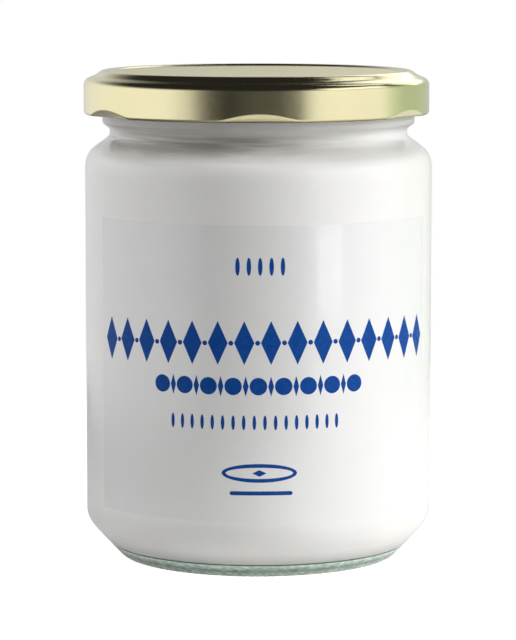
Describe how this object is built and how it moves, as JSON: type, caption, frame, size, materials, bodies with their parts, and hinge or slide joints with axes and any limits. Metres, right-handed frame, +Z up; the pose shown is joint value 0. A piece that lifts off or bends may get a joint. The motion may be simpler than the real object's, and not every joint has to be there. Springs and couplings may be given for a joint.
{
  "type": "jar of yogurt",
  "caption": "Round clear-glass jar filled with white yogurt, shut by a gold twist-off metal lid, with a pale film label round its front.",
  "frame": {"origin": "centre of the jar's foot, on the surface it stands on", "axes": "+Z up along the jar's axis, -Y towards the middle of the label"},
  "size_m": [0.0802, 0.0803, 0.1125],
  "materials": {
    "glass": "clear flint glass with a slight green tint where it is thick",
    "yogurt": "moist white set yogurt",
    "gold_lacquer": "gold lacquer on tinplate, glossy",
    "label_film": "semi-gloss pale film with blue print shapes"
  },
  "bodies": {
    "root": {"jar": "glass", "yogurt": "yogurt", "lid": "gold_lacquer", "label": "label_film"}
  },
  "joints": []
}
